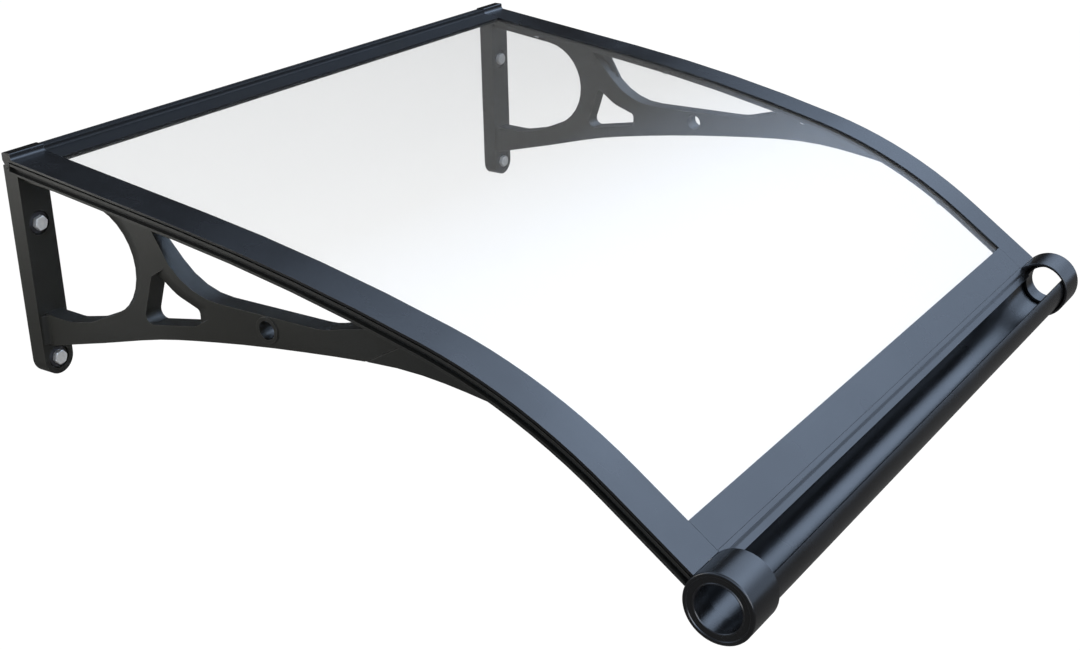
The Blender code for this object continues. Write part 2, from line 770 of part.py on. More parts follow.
def build_seals(finish):
    """Rubber strips under the four edges of the sheet."""
    top = SEAL_DROP
    bottom = SEAL_DROP + SEAL_THICKNESS
    start = RAIL_GROOVE_START + SEAL_INSET
    rear = band(start, RAIL_CLAMP_REACH - SEAL_INSET, top, bottom)
    seal = new_object("rear_seal", prism(rear, -CROSS_HALF, CROSS_HALF), finish)
    cut_screw_holes(seal, "rear_seal_holes", rear_screw_axes())
    flange_start = GUTTER_STATION - LEDGE_START - CLAMP_FLANGE_LENGTH
    front = band(flange_start + SEAL_INSET, SHEET_FRONT - SEAL_INSET, top, bottom)
    seal = new_object("front_seal", prism(front, -CROSS_HALF, CROSS_HALF), finish)
    cut_screw_holes(seal, "front_seal_holes", front_screw_axes())
    for side in SIDES:
        outline = band(start, SHEET_FRONT - SEAL_INSET, top, bottom)
        x_outer = side.x(REBATE_INSET + SEAL_INSET)
        x_inner = side.x(PLATE_WIDTH - SIDE_SEAL_INSET)
        seal = new_object("side_seal_" + side.name, prism(outline, x_outer, x_inner), finish)
        cut_screw_holes(seal, "side_seal_holes_" + side.name, side_screw_axes(side))


def build_front_cover(finish):
    """Flat strip over the sheet's front edge, between the side covers."""
    outline = band(SHEET_FRONT - FRONT_COVER_LENGTH, SHEET_FRONT, 0.0, COVER_THICKNESS)
    cover = new_object("front_cover", prism(outline, -CROSS_HALF, CROSS_HALF), finish)
    cut_screw_holes(cover, "front_cover_holes", front_screw_axes())
    return cover


def nose_outline(points):
    """Points given ahead of and above the gutter's station on the nose."""
    return [roof_point(GUTTER_STATION, -up, ahead) for ahead, up in points]


def build_gutter(finish):
    """Open round gutter with a ledge and a flange under the sheet."""
    step = -LEDGE_START
    clamp_top = -SEAT_DROP
    clamp_bottom = clamp_top - CLAMP_FLANGE_THICKNESS
    in_wall = LEDGE_OVERLAP - GUTTER_RADIUS
    flange = nose_outline([
        (step - CLAMP_FLANGE_LENGTH, clamp_top),
        (step, clamp_top),
        (step, 0.0),
        (step + LEDGE_LENGTH, 0.0),
        (step + LEDGE_LENGTH, -LEDGE_THICKNESS),
        (in_wall, -LEDGE_THICKNESS),
        (in_wall, clamp_bottom),
        (step - CLAMP_FLANGE_LENGTH, clamp_bottom),
    ])
    gutter = new_object("gutter", prism(flange, -CROSS_HALF, CROSS_HALF), finish)
    sweep = 2 * pi + LIP_ANGLE - REAR_WALL_ANGLE
    outside = []
    inside = []
    for index in range(GUTTER_STEPS + 1):
        angle = REAR_WALL_ANGLE + sweep * index / GUTTER_STEPS
        for wall, radius in ((outside, GUTTER_RADIUS), (inside, GUTTER_RADIUS - GUTTER_WALL)):
            wall.append((radius * cos(angle), radius * sin(angle) - GUTTER_DROP))
    half = HALF_WIDTH + CAP_PROUD - CAP_END_THICKNESS - TOUCH_GAP
    trough = new_object("trough", prism(nose_outline(outside + inside[::-1]), -half, half))
    boolean(gutter, "UNION", trough)
    cut_screw_holes(gutter, "gutter_screw_holes", front_screw_axes())
    return gutter


def build_cap(side, finish):
    """Round collar on the gutter's end, with a wide hole through its face."""
    bore = GUTTER_RADIUS + CAP_SAG + TOUCH_GAP
    section = [
        (CAP_LENGTH, CAP_RADIUS - CAP_CORNER),
        (CAP_LENGTH - CAP_CORNER, CAP_RADIUS),
        (CAP_EDGE, CAP_RADIUS),
        (CAP_CORNER, CAP_RADIUS - CAP_CORNER),
        (0.0, CAP_RADIUS - CAP_EDGE),
        (0.0, CAP_HOLE_RADIUS + CAP_CORNER),
        (CAP_CORNER, CAP_HOLE_RADIUS),
        (CAP_END_THICKNESS, CAP_HOLE_RADIUS),
        (CAP_END_THICKNESS, bore),
        (CAP_LENGTH, bore),
    ]
    out, height = cap_centre()
    shape = bmesh.new()
    rings = []
    for index in range(CAP_SEGMENTS):
        angle = 2 * pi * index / CAP_SEGMENTS
        ring = []
        for inset, radius in section:
            y = radius * cos(angle) - out
            z = height + radius * sin(angle)
            ring.append(shape.verts.new((side.x(inset - CAP_PROUD), y, z)))
        rings.append(ring)
    count = len(section)
    for index, ring in enumerate(rings):
        other = rings[(index + 1) % CAP_SEGMENTS]
        for place in range(count):
            following = (place + 1) % count
            shape.faces.new((ring[place], ring[following], other[following], other[place]))
    return new_object("gutter_cap_" + side.name, shape, finish)


def build_bolts(side, finish):
    """Hexagon bolts and washers that hold one bracket to the wall."""
    for name, place in bolt_places(side):
        floor = POCKET_DEPTH - PLATE_THICKNESS
        washer_back = place + Vector((0.0, floor - TOUCH_GAP, 0.0))
        washer_front = washer_back - Vector((0.0, WASHER_THICKNESS, 0.0))
        shape = bmesh.new()
        add_rod(shape, washer_back, washer_front, WASHER_RADIUS, 2 * ROUND_SEGMENTS)
        washer = new_object("washer_" + name + "_" + side.name, shape, finish)
        shape = bmesh.new()
        radius = BOLT_RADIUS + WASHER_BORE_CLEARANCE
        start = washer_back + Vector((0.0, OPENING_MARGIN, 0.0))
        add_rod(shape, start, washer_front - Vector((0.0, OPENING_MARGIN, 0.0)), radius)
        boolean(washer, "DIFFERENCE", new_object("washer_hole_" + name + "_" + side.name, shape))
        head_back = washer_front - Vector((0.0, TOUCH_GAP, 0.0))
        head_front = head_back - Vector((0.0, BOLT_HEAD_HEIGHT, 0.0))
        shape = bmesh.new()
        add_rod(shape, head_back, head_front, BOLT_HEAD_FLATS / sqrt(3), 6, BOLT_TURN)
        bolt = new_object("wall_bolt_" + name + "_" + side.name, shape, finish)
        shape = bmesh.new()
        shank_end = Vector((0.0, -BOLT_HEAD_HEIGHT / 2, 0.0)) + head_back
        add_rod(shape, place - Vector((0.0, TOUCH_GAP, 0.0)), shank_end, BOLT_RADIUS)
        boolean(bolt, "UNION", new_object("bolt_shank_" + name + "_" + side.name, shape))


def spaced(count, first, last):
    """Evenly spaced places from the first to the last."""
    if count < 2:
        return [(first + last) / 2]
    return [first + (last - first) * index / (count - 1) for index in range(count)]


def screw_axis(name, x, station, seat):
    """Axis of a screw: its name, seat below the part it clamps, and tip."""
    seat_out, seat_height = roof_point(station, seat)
    tip_out, tip_height = roof_point(station, SCREW_TIP_DROP)
    return name, Vector((x, -seat_out, seat_height)), Vector((x, -tip_out, tip_height))


def side_screw_axes(side):
    """Screws through a bracket's rail into the side cover."""
    inset = (WEB_INSET + WEB_THICKNESS + PLATE_WIDTH) / 2
    places = spaced(SIDE_SCREW_COUNT, SIDE_SCREW_FIRST, SIDE_SCREW_LAST)
    return [
        screw_axis(f"side_screw_{side.name}_{index + 1}", side.x(inset), station, RAIL_BOTTOM_DROP)
        for index, station in enumerate(places)
    ]


def rear_screw_axes():
    """Screws through the rear rail's clamp into its upper flange."""
    station = (RAIL_GROOVE_START + RAIL_CLAMP_REACH) / 2
    seat = SEAT_DROP + RAIL_CLAMP_THICKNESS
    end = HALF_WIDTH - CROSS_SCREW_INSET
    places = spaced(CROSS_SCREW_COUNT, -end, end)
    return [
        screw_axis(f"rear_screw_{index + 1}", x, station, seat)
        for index, x in enumerate(places)
    ]


def front_screw_axes():
    """Screws through the gutter's flange into the front cover."""
    station = GUTTER_STATION - LEDGE_START - CLAMP_FLANGE_LENGTH / 2
    seat = SEAT_DROP + CLAMP_FLANGE_THICKNESS
    end = HALF_WIDTH - CROSS_SCREW_INSET
    places = spaced(CROSS_SCREW_COUNT, -end, end)
    return [
        screw_axis(f"front_screw_{index + 1}", x, station, seat)
        for index, x in enumerate(places)
    ]


def cut_screw_holes(target, name, axes):
    """Clearance holes that stop under the skin of the upper part."""
    shape = bmesh.new()
    for _, seat, tip in axes:
        along = (tip - seat).normalized()
        start = seat - along * OPENING_MARGIN
        add_rod(shape, start, tip + along * TOUCH_GAP, SCREW_HOLE_RADIUS, SCREW_SEGMENTS)
    boolean(target, "DIFFERENCE", new_object(name, shape))


def build_screws(axes, finish):
    """Pan-head clamp screws."""
    for name, seat, tip in axes:
        along = (tip - seat).normalized()
        head_top = seat - along * TOUCH_GAP
        head_bottom = head_top - along * SCREW_HEAD_HEIGHT
        turned = along.to_track_quat("Z", "Y").to_matrix()
        profile = [
            (head_bottom, SCREW_CROWN_RADIUS),
            (head_bottom - along * SCREW_CROWN_HEIGHT, SCREW_HEAD_RADIUS),
            (head_top, SCREW_HEAD_RADIUS),
            (head_top, SCREW_RADIUS),
            (tip, SCREW_RADIUS),
        ]
        rings = []
        for centre, radius in profile:
            ring = []
            for index in range(SCREW_SEGMENTS):
                angle = 2 * pi * index / SCREW_SEGMENTS
                local = Vector((radius * cos(angle), radius * sin(angle), 0.0))
                ring.append(centre + turned @ local)
            rings.append(ring)
        shape = bmesh.new()
        add_rings(shape, rings)
        new_object(name, shape, finish)


def main():
    """Builds the canopy."""
    for old in list(bpy.data.objects):
        bpy.data.objects.remove(old, do_unlink=True)
    black_casting = material("black casting", (0.022, 0.022, 0.020), 0.15, 0.42)
    black_strip = material("black strip", (0.020, 0.022, 0.026), 0.30, 0.35)
    clear_sheet = material("clear sheet", (0.90, 0.93, 0.95), 0.0, 0.05, 0.3)
    black_rubber = material("black rubber", (0.015, 0.015, 0.015), 0.0, 0.75)
    zinc = material("zinc plated steel", (0.72, 0.72, 0.70), 0.9, 0.35)
    build_rear_rail(black_strip)
    build_sheet(clear_sheet)
    build_seals(black_rubber)
    build_front_cover(black_strip)
    build_gutter(black_strip)
    build_screws(rear_screw_axes() + front_screw_axes(), zinc)
    left, right = SIDES
    mirrored(build_bracket(left, black_casting), "bracket_" + right.name)
    for side in SIDES:
        build_side_cover(side, black_strip)
        build_cap(side, black_strip)
        build_bolts(side, zinc)
        build_screws(side_screw_axes(side), zinc)


main()
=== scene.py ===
"""Looks of a small door canopy: a clear curved sheet in black strips on two cast brackets.

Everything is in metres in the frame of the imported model: X runs along the wall, the
wall is the plane Y = 0, the canopy reaches out towards -Y and Z is up. Side shapes are
given as (out, height) points, where out is the distance from the wall.
"""
import json
import logging
import math
from contextlib import contextmanager
from dataclasses import dataclass, field, replace
from enum import Enum
from typing import Iterator, Mapping, Sequence

import bpy
from mathutils import Matrix, Vector

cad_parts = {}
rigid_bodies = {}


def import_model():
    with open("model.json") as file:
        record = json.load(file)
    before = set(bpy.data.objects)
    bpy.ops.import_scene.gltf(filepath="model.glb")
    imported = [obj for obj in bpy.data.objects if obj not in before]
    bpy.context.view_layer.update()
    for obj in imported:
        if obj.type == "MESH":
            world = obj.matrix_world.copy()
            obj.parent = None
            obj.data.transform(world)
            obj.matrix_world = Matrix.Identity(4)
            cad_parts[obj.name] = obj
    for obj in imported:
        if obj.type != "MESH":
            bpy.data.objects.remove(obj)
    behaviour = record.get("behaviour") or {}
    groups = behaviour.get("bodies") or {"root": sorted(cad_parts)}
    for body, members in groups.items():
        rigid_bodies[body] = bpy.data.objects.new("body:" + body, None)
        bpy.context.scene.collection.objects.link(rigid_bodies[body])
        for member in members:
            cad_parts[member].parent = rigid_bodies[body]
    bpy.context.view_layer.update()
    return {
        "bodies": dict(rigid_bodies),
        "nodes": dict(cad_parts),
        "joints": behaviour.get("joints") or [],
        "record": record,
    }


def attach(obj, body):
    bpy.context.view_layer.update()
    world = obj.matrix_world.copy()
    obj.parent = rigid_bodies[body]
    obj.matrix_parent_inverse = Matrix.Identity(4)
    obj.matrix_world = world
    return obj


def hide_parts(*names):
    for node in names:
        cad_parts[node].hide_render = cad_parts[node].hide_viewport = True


LOG = logging.getLogger("door_canopy")
Colour = tuple[float, float, float]
Point = tuple[float, float]
BODY = "root"

TOUCH_GAP = 0.0003  # between pieces that bear on each other
SHARP_ANGLE = math.radians(32)  # edges sharper than this are rounded or stay sharp
FLAT_ANGLE = math.radians(0.4)  # faces that differ by less are joined
MERGE_DISTANCE = 0.00001
GUTTER_DROP = 0.0045  # the gutter's axis below the roof line's end
CAP_SAG = 0.0008  # the end caps' axis below the gutter's
BOLT_HEIGHTS = {"upper": -0.0603, "lower": -0.1993}
LAMP_TARGET = (0.0, -0.4, -0.1)
DUST_COLOUR = (0.42, 0.40, 0.37, 1.0)


class Slot(Enum):
    """Material slots of the record."""

    CASTING = "black_casting"
    STRIP = "black_strip"
    SHEET = "clear_sheet"
    RUBBER = "black_rubber"
    ZINC = "zinc_steel"


class Side(Enum):
    """The canopy's two sides, with the sign of X on each."""

    LEFT = -1
    RIGHT = 1

    @property
    def label(self) -> str:
        """Word used in the names of this side's pieces."""
        return self.name.lower()


# Modelling


def deselect_all() -> None:
    """Leaves edit mode and deselects every object."""
    active = bpy.context.view_layer.objects.active
    if active is not None and active.mode != "OBJECT":
        bpy.ops.object.mode_set(mode="OBJECT")
    bpy.ops.object.select_all(action="DESELECT")


@contextmanager
def editing(piece: bpy.types.Object) -> Iterator[None]:
    """Holds one piece in edit mode with all of it selected.

    Args:
        piece: The mesh object to edit.
    """
    deselect_all()
    piece.select_set(True)
    bpy.context.view_layer.objects.active = piece
    bpy.ops.object.mode_set(mode="EDIT")
    bpy.ops.mesh.select_all(action="SELECT")
    yield
    bpy.ops.object.mode_set(mode="OBJECT")


def apply_modifier(piece: bpy.types.Object, kind: str, **settings: object) -> None:
    """Adds a modifier to a piece and applies it.

    Args:
        piece: The mesh object.
        kind: Type of modifier, such as BEVEL.
        settings: Values for the modifier's own properties.
    """
    modifier = piece.modifiers.new(kind.lower(), kind)
    for name, value in settings.items():
        setattr(modifier, name, value)
    deselect_all()
    piece.select_set(True)
    bpy.context.view_layer.objects.active = piece
    bpy.ops.object.modifier_apply(modifier=modifier.name)


def soften_edges(piece: bpy.types.Object, width: float, segments: int = 2) -> None:
    """Rounds the sharp edges of a piece.

    Args:
        piece: The mesh object.
        width: Width of the rounding in metres.
        segments: Steps in the rounding.
    """
    apply_modifier(
        piece,
        "BEVEL",
        width=width,
        segments=segments,
        limit_method="ANGLE",
        angle_limit=SHARP_ANGLE,
        harden_normals=False,
    )


def smooth(piece: bpy.types.Object) -> None:
    """Shades a piece smooth, with its wide faces kept flat up to their rounded edges.

    Args:
        piece: The mesh object.
    """
    deselect_all()
    piece.select_set(True)
    bpy.context.view_layer.objects.active = piece
    bpy.ops.object.shade_smooth_by_angle(angle=SHARP_ANGLE)
    apply_modifier(piece, "WEIGHTED_NORMAL", weight=50, keep_sharp=True)


def merged_copy(node: bpy.types.Object, name: str) -> bpy.types.Object:
    """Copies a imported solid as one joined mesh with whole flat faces.

    Args:
        node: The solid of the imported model.
        name: Name of the copy.

    Returns:
        The new object, at the origin like the solid it came from.
    """
    deselect_all()
    mesh = node.data.copy()
    mesh.materials.clear()
    piece = bpy.data.objects.new(name, mesh)
    bpy.context.scene.collection.objects.link(piece)
    with editing(piece):
        bpy.ops.mesh.customdata_custom_splitnormals_clear()
        bpy.ops.mesh.remove_doubles(threshold=MERGE_DISTANCE)
        bpy.ops.mesh.dissolve_limited(angle_limit=FLAT_ANGLE)
    return piece


def outline_ring(name: str, points: Sequence[Vector], fill: str) -> bpy.types.Object:
    """Adds a ring with as many corners as an outline and sets them on it.

    Args:
        name: Name of the new piece.
        points: Corners of the outline.
        fill: NGON for a face, NOTHING for the bare ring.

    Returns:
        The new object, at the origin.
    """
    deselect_all()
    bpy.ops.mesh.primitive_circle_add(vertices=len(points), radius=0.01, fill_type=fill)
    piece = bpy.context.active_object
    piece.name = name
    for vertex, point in zip(piece.data.vertices, points):
        vertex.co = point
    return piece


def drawn_along_wall(name: str, outline: Sequence[Point], half: float) -> bpy.types.Object:
    """Draws a side outline out into a straight piece along the wall.

    Args:
        name: Name of the new piece.
        outline: The side outline as (out, height) points.
        half: Half of the piece's length.

    Returns:
        The closed piece.
    """
    ring = [Vector((-half, -out, height)) for out, height in outline]
    piece = outline_ring(name, ring, "NGON")
    with editing(piece):
        bpy.ops.mesh.extrude_region_move(TRANSFORM_OT_translate={"value": (2 * half, 0, 0)})
        bpy.ops.mesh.select_all(action="SELECT")
        bpy.ops.mesh.normals_make_consistent(inside=False)
    return piece


def turned(
    name: str, section: Sequence[Point], centre: Vector, axis: Vector, steps: int
) -> bpy.types.Object:
    """Turns a section round an axis, as on a lathe.

    Args:
        name: Name of the new piece.
        section: Closed section as (place along the axis, radius) points.
        centre: A point on the axis, from which the places are counted.
        axis: Direction of the axis.
        steps: Number of steps in the full turn.

    Returns:
        The closed piece.
    """
    aside = axis.orthogonal().normalized()
    ring = [centre + axis * along + aside * radius for along, radius in section]
    piece = outline_ring(name, ring, "NOTHING")
    with editing(piece):
        bpy.ops.mesh.spin(steps=steps, angle=2 * math.pi, center=centre, axis=axis)
        bpy.ops.mesh.select_all(action="SELECT")
        bpy.ops.mesh.remove_doubles(threshold=MERGE_DISTANCE)
        bpy.ops.mesh.normals_make_consistent(inside=False)
    return piece


def combine(piece: bpy.types.Object, tool: bpy.types.Object, operation: str) -> None:
    """Cuts or joins one piece with another, which is used up.

    Args:
        piece: The piece that stays.
        tool: The piece that cuts it or is joined to it.
        operation: DIFFERENCE, UNION or INTERSECT.
    """
    apply_modifier(piece, "BOOLEAN", object=tool, operation=operation, solver="EXACT")
    bpy.data.objects.remove(tool)


def hand_over(
    piece: bpy.types.Object, finish: bpy.types.Material, slot: Slot, *nodes: str
) -> bpy.types.Object:
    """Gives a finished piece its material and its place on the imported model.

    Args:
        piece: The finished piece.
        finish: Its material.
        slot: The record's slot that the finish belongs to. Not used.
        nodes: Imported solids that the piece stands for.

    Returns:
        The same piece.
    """
    piece.data.materials.clear()
    piece.data.materials.append(finish)
    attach(piece, BODY)
    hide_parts(*nodes)
    LOG.info("%s: %d faces", piece.name, len(piece.data.polygons))
    return piece


@dataclass(frozen=True)
class RoofLine:
    """The side shape that the strips and the sheet follow, from the wall outwards."""

    start_height: float = 0.0060
    start_slope: float = math.radians(7.6)
    stretches: tuple[Point, ...] = (
        (0.2200, 0.0),
        (0.2750, math.radians(7.0)),
        (0.1950, math.radians(21.0)),
        (0.1185, 0.0),
    )

    @property
    def length(self) -> float:
        """Length of the line up to the gutter's axis."""
        return sum(length for length, _ in self.stretches)

    def frame(self, station: float) -> tuple[float, float, float]:
        """Place and slope of the line.

        Args:
            station: Distance along the line from the wall.

        Returns:
            Out, height and slope there.
        """
        out, height, slope, left = 0.0, self.start_height, self.start_slope, station
        for length, turn in self.stretches:
            step = min(left, length)
            if turn:
                radius = length / turn
                swept = slope + step / radius
                out += radius * (math.sin(swept) - math.sin(slope))
                height += radius * (math.cos(swept) - math.cos(slope))
                slope = swept
            else:
                out += step * math.cos(slope)
                height -= step * math.sin(slope)
            left -= step
            if left <= 0:
                break
        return out, height, slope

    def point(self, station: float, drop: float = 0.0) -> Point:
        """Point at a drop square to the line."""
        out, height, slope = self.frame(station)
        return out - drop * math.sin(slope), height - drop * math.cos(slope)

    def band(self, start: float, end: float, top: float, bottom: float, steps: int) -> list[Point]:
        """Outline of a strip that follows the line.

        Args:
            start: Station of its rear end.
            end: Station of its front end.
            top: Drop of its upper face.
            bottom: Drop of its lower face.
            steps: Number of steps along it.

        Returns:
            The closed outline as (out, height) points.
        """
        stations = [start + (end - start) * step / steps for step in range(steps + 1)]
        upper = [self.point(station, top) for station in stations]
        return upper + [self.point(station, bottom) for station in reversed(stations)]


# Finishes


class NodeBoard:
    """A node tree that is filled node by node."""

    def __init__(self, tree: bpy.types.NodeTree) -> None:
        """Takes the tree to fill."""
        self.tree = tree

    def add(self, kind: str, inputs: Mapping[str, object] | None = None, **settings: object):
        """Adds a node.

        Args:
            kind: Node type without its ShaderNode prefix.
            inputs: Values or output sockets for its inputs, by name or number.
            settings: Values for the node's own properties.

        Returns:
            The new node.
        """
        node = self.tree.nodes.new("ShaderNode" + kind)
        for name, value in settings.items():
            setattr(node, name, value)
        for name, value in (inputs or {}).items():
            if isinstance(value, bpy.types.NodeSocket):
                self.tree.links.new(value, node.inputs[name])
            else:
                node.inputs[name].default_value = value
        return node

    def noise(self, scale: float, detail: float = 3.0, stretch: Colour = (1.0, 1.0, 1.0)):
        """Adds a noise pattern on object coordinates.

        Args:
            scale: Patches to the metre.
            detail: Finer layers added to it.
            stretch: Scale of the coordinates along each axis.

        Returns:
            The noise's value socket.
        """
        place = self.add("TexCoord").outputs["Object"]
        place = self.add("Mapping", {"Vector": place, "Scale": stretch}).outputs["Vector"]
        inputs = {"Vector": place, "Scale": scale, "Detail": detail}
        return self.add("TexNoise", inputs).outputs[0]

    def ramp(self, value: object, low: float, high: float, start: float, end: float):
        """Adds a range map from low..high to start..end and returns its result."""
        inputs = {"Value": value, "From Min": low, "From Max": high, "To Min": start, "To Max": end}
        return self.add("MapRange", inputs).outputs["Result"]

    def math(self, operation: str, first: object, second: object = 0.0, third: object = 0.0):
        """Adds an arithmetic node on up to three values and returns its result."""
        inputs = {0: first, 1: second, 2: third}
        return self.add("Math", inputs, operation=operation).outputs[0]

    def blend(self, share: object, first: object, second: object, mode: str = "MIX"):
        """Adds a colour mix and returns its result."""
        inputs = {0: share, 6: first, 7: second}
        return self.add("Mix", inputs, data_type="RGBA", blend_type=mode).outputs[2]


class EffectGroup:
    """A shader node group that is built once and placed in several materials."""

    def __init__(self, name: str, takes: Mapping[str, object], gives: Mapping[str, str]) -> None:
        """Makes the group's sockets.

        Args:
            name: Name of the group.
            takes: Inputs with their usual values; a colour is a tuple.
            gives: Outputs with their kind: Color, Float or Vector.
        """
        self.tree = bpy.data.node_groups.new(name, "ShaderNodeTree")
        for label, value in takes.items():
            kind = "NodeSocketColor" if isinstance(value, tuple) else "NodeSocketFloat"
            socket = self.tree.interface.new_socket(name=label, in_out="INPUT", socket_type=kind)
            socket.default_value = (*value, 1.0) if isinstance(value, tuple) else value
        for label, kind in gives.items():
            socket_type = "NodeSocket" + kind
            self.tree.interface.new_socket(name=label, in_out="OUTPUT", socket_type=socket_type)
        self.board = NodeBoard(self.tree)
        self.inputs = self.tree.nodes.new("NodeGroupInput").outputs
        self.results = self.tree.nodes.new("NodeGroupOutput").inputs

    def give(self, label: str, value: bpy.types.NodeSocket) -> None:
        """Links a value to one of the group's outputs."""
        self.tree.links.new(value, self.results[label])

    def place(self, board: NodeBoard, inputs: Mapping[str, object]) -> bpy.types.Node:
        """Places the group in a material and returns its node."""
        node = board.tree.nodes.new("ShaderNodeGroup")
        node.node_tree = self.tree
        for label, value in inputs.items():
            if isinstance(value, bpy.types.NodeSocket):
                board.tree.links.new(value, node.inputs[label])
            else:
                node.inputs[label].default_value = value
        return node


def coat_grain_group() -> EffectGroup:
    """Builds the fine pebbled skin of a sprayed or baked coat."""
    group = EffectGroup(
        "coat grain",
        {"Grain Scale": 700.0, "Grain Depth": 0.25, "Roughness": 0.4, "Roughness Spread": 0.06},
        {"Roughness": "Float", "Normal": "Vector"},
    )
    board = group.board
    place = board.add("TexCoord").outputs["Object"]
    grain_inputs = {"Vector": place, "Scale": group.inputs["Grain Scale"], "Detail": 2.0}
    grain = board.add("TexNoise", grain_inputs).outputs[0]
    cloud = board.noise(9.0, 4.0)
    spread = board.ramp(cloud, 0.3, 0.7, -1.0, 1.0)
    spread = board.math("MULTIPLY", spread, group.inputs["Roughness Spread"])
    group.give("Roughness", board.math("ADD", group.inputs["Roughness"], spread))
    bump_inputs = {"Height": grain, "Strength": group.inputs["Grain Depth"], "Distance": 0.0004}
    group.give("Normal", board.add("Bump", bump_inputs).outputs["Normal"])
    return group


def edge_wear_and_highlight_group() -> EffectGroup:
    """Builds a mask of the outer edges, broken up as handling wears them; the lighter colour laid
    on it is partly real wear and partly a painted highlight along the edges.
    """
    group = EffectGroup("edge wear", {"Reach": 0.0012, "Break Up": 0.5}, {"Mask": "Float"})
    board = group.board
    rounded = board.add("Bevel", {"Radius": group.inputs["Reach"]}, samples=6).outputs["Normal"]
    plain = board.add("NewGeometry").outputs["Normal"]
    turn = board.add("VectorMath", {0: rounded, 1: plain}, operation="DOT_PRODUCT").outputs["Value"]
    edge = board.ramp(turn, 0.985, 0.80, 0.0, 1.0)
    patches = board.ramp(board.noise(160.0, 4.0), 0.35, 0.65, 0.0, 1.0)
    kept = board.math("SUBTRACT", 1.0, board.math("MULTIPLY", group.inputs["Break Up"], patches))
    group.give("Mask", board.math("MULTIPLY", edge, kept))
    return group


def dust_group() -> EffectGroup:
    """Builds a thin, patchy layer of dust on faces that look up."""
    group = EffectGroup("settled dust", {"Amount": 0.1, "Patch Scale": 25.0}, {"Mask": "Float"})
    board = group.board
    normal = board.add("NewGeometry").outputs["Normal"]
    up = board.ramp(board.add("SeparateXYZ", {0: normal}).outputs["Z"], 0.2, 0.95, 0.0, 1.0)
    place = board.add("TexCoord").outputs["Object"]
    patch_inputs = {"Vector": place, "Scale": group.inputs["Patch Scale"], "Detail": 6.0}
    patches = board.ramp(board.add("TexNoise", patch_inputs).outputs[0], 0.38, 0.72, 0.15, 1.0)
    fine = board.ramp(board.noise(1400.0, 2.0), 0.45, 0.75, 0.3, 1.0)
    mask = board.math("MULTIPLY", board.math("MULTIPLY", up, patches), fine)
    group.give("Mask", board.math("MULTIPLY", mask, group.inputs["Amount"]))
    return group


@dataclass
class Effects:
    """The node groups that the finishes share."""

    grain: EffectGroup = field(default_factory=coat_grain_group)
    wear_and_highlight: EffectGroup = field(default_factory=edge_wear_and_highlight_group)
    dust: EffectGroup = field(default_factory=dust_group)


@dataclass(frozen=True)
class Coat:
    """A satin black coat on metal."""

    name: str
    colour: Colour
    mottle: Colour
    worn_and_highlit: Colour
    roughness: float
    gloss_level: float
    grain_scale: float
    grain_depth: float
    edge_reach: float
    dust: float

    def build(self, effects: Effects) -> bpy.types.Material:
        """Makes the material.

        Args:
            effects: The shared node groups.

        Returns:
            The material.
        """
        made = bpy.data.materials.new(self.name)
        made.use_nodes = True
        board = NodeBoard(made.node_tree)
        shader = made.node_tree.nodes["Principled BSDF"]
        grain = effects.grain.place(
            board,
            {
                "Grain Scale": self.grain_scale,
                "Grain Depth": self.grain_depth,
                "Roughness": self.roughness,
            },
        )
        edge = effects.wear_and_highlight.place(board, {"Reach": self.edge_reach}).outputs["Mask"]
        dust = effects.dust.place(board, {"Amount": self.dust}).outputs["Mask"]
        patches = board.ramp(board.noise(14.0, 5.0), 0.35, 0.65, 0.0, 1.0)
        colour = board.blend(patches, (*self.colour, 1.0), (*self.mottle, 1.0))
        # Lighter outer edges: partly handling wear, partly a painted highlight along the rims.
        colour = board.blend(edge, colour, (*self.worn_and_highlit, 1.0))
        colour = board.blend(dust, colour, DUST_COLOUR)
        links = made.node_tree.links
        links.new(colour, shader.inputs["Base Color"])
        rough = board.math("ADD", grain.outputs["Roughness"], board.math("MULTIPLY", dust, 0.4))
        links.new(rough, shader.inputs["Roughness"])
        links.new(grain.outputs["Normal"], shader.inputs["Normal"])
        shader.inputs["Specular IOR Level"].default_value = self.gloss_level
        return made


@dataclass(frozen=True)
class ClearPlastic:
    """Clear sheet plastic with a faint veil and the slight waves of a rolled sheet."""

    name: str = "clear sheet plastic"
    colour: Colour = (0.985, 0.995, 1.0)
    clearness: float = 0.94
    index: float = 1.20

    def build(self, effects: Effects) -> bpy.types.Material:
        """Makes the material from the shared node groups."""
        made = bpy.data.materials.new(self.name)
        made.use_nodes = True
        board = NodeBoard(made.node_tree)
        shader = made.node_tree.nodes["Principled BSDF"]
        waves = board.noise(5.0, 1.0, (0.3, 1.0, 1.0))
        bump = board.add("Bump", {"Height": waves, "Strength": 0.05, "Distance": 0.001})
        scuffs = board.ramp(board.noise(220.0, 5.0, (1.0, 0.15, 1.0)), 0.60, 0.80, 0.0, 0.02)
        dust = effects.dust.place(board, {"Amount": 0.03}).outputs["Mask"]
        rough = board.math("ADD", scuffs, board.math("MULTIPLY", dust, 0.5))
        tint = board.blend(dust, (*self.colour, 1.0), (0.86, 0.86, 0.84, 1.0))
        links = made.node_tree.links
        links.new(tint, shader.inputs["Base Color"])
        links.new(rough, shader.inputs["Roughness"])
        links.new(bump.outputs["Normal"], shader.inputs["Normal"])
        shader.inputs["Transmission Weight"].default_value = self.clearness
        shader.inputs["IOR"].default_value = self.index
        return made


